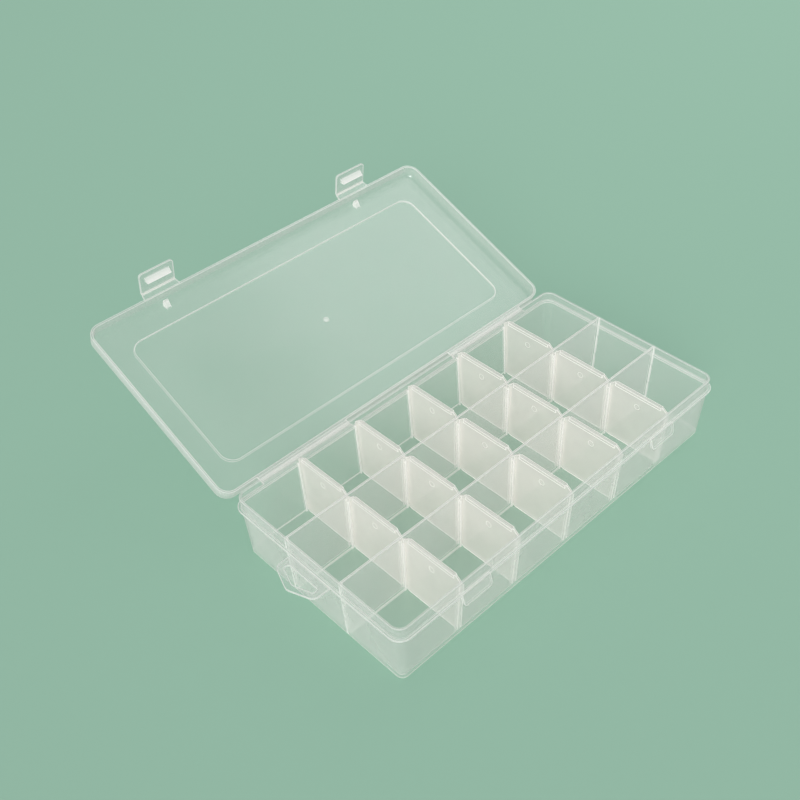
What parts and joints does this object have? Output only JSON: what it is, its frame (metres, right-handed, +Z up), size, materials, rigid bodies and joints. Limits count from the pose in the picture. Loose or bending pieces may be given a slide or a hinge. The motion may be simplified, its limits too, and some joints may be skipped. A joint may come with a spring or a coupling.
{
  "type": "compartment storage box",
  "caption": "Shallow clear plastic storage box with rows of compartments, lift-out dividers, a hinged lid with flap latches and a hang tab.",
  "frame": {"origin": "middle of the tray's flat underside", "axes": "+X along the box away from the hang tab, +Y towards the hinge, +Z up"},
  "size_m": [0.2441, 0.2332, 0.0911],
  "materials": {
    "tray_polypropylene": "clear natural polypropylene, injection moulded, smooth",
    "lid_polypropylene": "clear natural polypropylene, injection moulded, smooth",
    "divider_polypropylene": "milky natural polypropylene, injection moulded, frosted"
  },
  "bodies": {
    "tray": {"tray": "tray_polypropylene", "hinge_web_left": "tray_polypropylene", "hinge_web_right": "tray_polypropylene"},
    "lid": {"lid": "lid_polypropylene", "fold_web_left": "lid_polypropylene", "fold_web_right": "lid_polypropylene"},
    "latch_left": {"latch_left": "lid_polypropylene"},
    "latch_right": {"latch_right": "lid_polypropylene"},
    "divider_back_1": {"divider_back_1": "divider_polypropylene"},
    "divider_back_2": {"divider_back_2": "divider_polypropylene"},
    "divider_back_3": {"divider_back_3": "divider_polypropylene"},
    "divider_back_4": {"divider_back_4": "divider_polypropylene"},
    "divider_back_5": {"divider_back_5": "divider_polypropylene"},
    "divider_middle_1": {"divider_middle_1": "divider_polypropylene"},
    "divider_middle_2": {"divider_middle_2": "divider_polypropylene"},
    "divider_middle_3": {"divider_middle_3": "divider_polypropylene"},
    "divider_middle_4": {"divider_middle_4": "divider_polypropylene"},
    "divider_middle_5": {"divider_middle_5": "divider_polypropylene"},
    "divider_front_1": {"divider_front_1": "divider_polypropylene"},
    "divider_front_2": {"divider_front_2": "divider_polypropylene"},
    "divider_front_3": {"divider_front_3": "divider_polypropylene"},
    "divider_front_4": {"divider_front_4": "divider_polypropylene"},
    "divider_front_5": {"divider_front_5": "divider_polypropylene"}
  },
  "joints": [
    {"name": "lid_hinge", "type": "hinge", "parent": "tray", "child": "lid", "pos_m": [0, 0.0604, 0.0318], "axis": [-1, 0, 0], "range_deg": [-157.67, 22.33], "deforming": ["hinge_web_left", "hinge_web_right"]},
    {"name": "latch_left_fold", "type": "hinge", "parent": "lid", "child": "latch_left", "pos_m": [-0.068, 0.17297, 0.07793], "axis": [-1, 0, 0], "range_deg": [-14, 76], "deforming": ["fold_web_left"]},
    {"name": "latch_right_fold", "type": "hinge", "parent": "lid", "child": "latch_right", "pos_m": [0.068, 0.17297, 0.07793], "axis": [-1, 0, 0], "range_deg": [-14, 76], "deforming": ["fold_web_right"]},
    {"name": "divider_back_1_lift", "type": "slide", "parent": "tray", "child": "divider_back_1", "axis": [0, 0, 1], "range_m": [0, 0.045]},
    {"name": "divider_back_2_lift", "type": "slide", "parent": "tray", "child": "divider_back_2", "axis": [0, 0, 1], "range_m": [0, 0.045]},
    {"name": "divider_back_3_lift", "type": "slide", "parent": "tray", "child": "divider_back_3", "axis": [0, 0, 1], "range_m": [0, 0.045]},
    {"name": "divider_back_4_lift", "type": "slide", "parent": "tray", "child": "divider_back_4", "axis": [0, 0, 1], "range_m": [0, 0.045]},
    {"name": "divider_back_5_lift", "type": "slide", "parent": "tray", "child": "divider_back_5", "axis": [0, 0, 1], "range_m": [0, 0.045]},
    {"name": "divider_middle_1_lift", "type": "slide", "parent": "tray", "child": "divider_middle_1", "axis": [0, 0, 1], "range_m": [0, 0.045]},
    {"name": "divider_middle_2_lift", "type": "slide", "parent": "tray", "child": "divider_middle_2", "axis": [0, 0, 1], "range_m": [0, 0.045]},
    {"name": "divider_middle_3_lift", "type": "slide", "parent": "tray", "child": "divider_middle_3", "axis": [0, 0, 1], "range_m": [0, 0.045]},
    {"name": "divider_middle_4_lift", "type": "slide", "parent": "tray", "child": "divider_middle_4", "axis": [0, 0, 1], "range_m": [0, 0.045]},
    {"name": "divider_middle_5_lift", "type": "slide", "parent": "tray", "child": "divider_middle_5", "axis": [0, 0, 1], "range_m": [0, 0.045]},
    {"name": "divider_front_1_lift", "type": "slide", "parent": "tray", "child": "divider_front_1", "axis": [0, 0, 1], "range_m": [0, 0.045]},
    {"name": "divider_front_2_lift", "type": "slide", "parent": "tray", "child": "divider_front_2", "axis": [0, 0, 1], "range_m": [0, 0.045]},
    {"name": "divider_front_3_lift", "type": "slide", "parent": "tray", "child": "divider_front_3", "axis": [0, 0, 1], "range_m": [0, 0.045]},
    {"name": "divider_front_4_lift", "type": "slide", "parent": "tray", "child": "divider_front_4", "axis": [0, 0, 1], "range_m": [0, 0.045]},
    {"name": "divider_front_5_lift", "type": "slide", "parent": "tray", "child": "divider_front_5", "axis": [0, 0, 1], "range_m": [0, 0.045]}
  ]
}
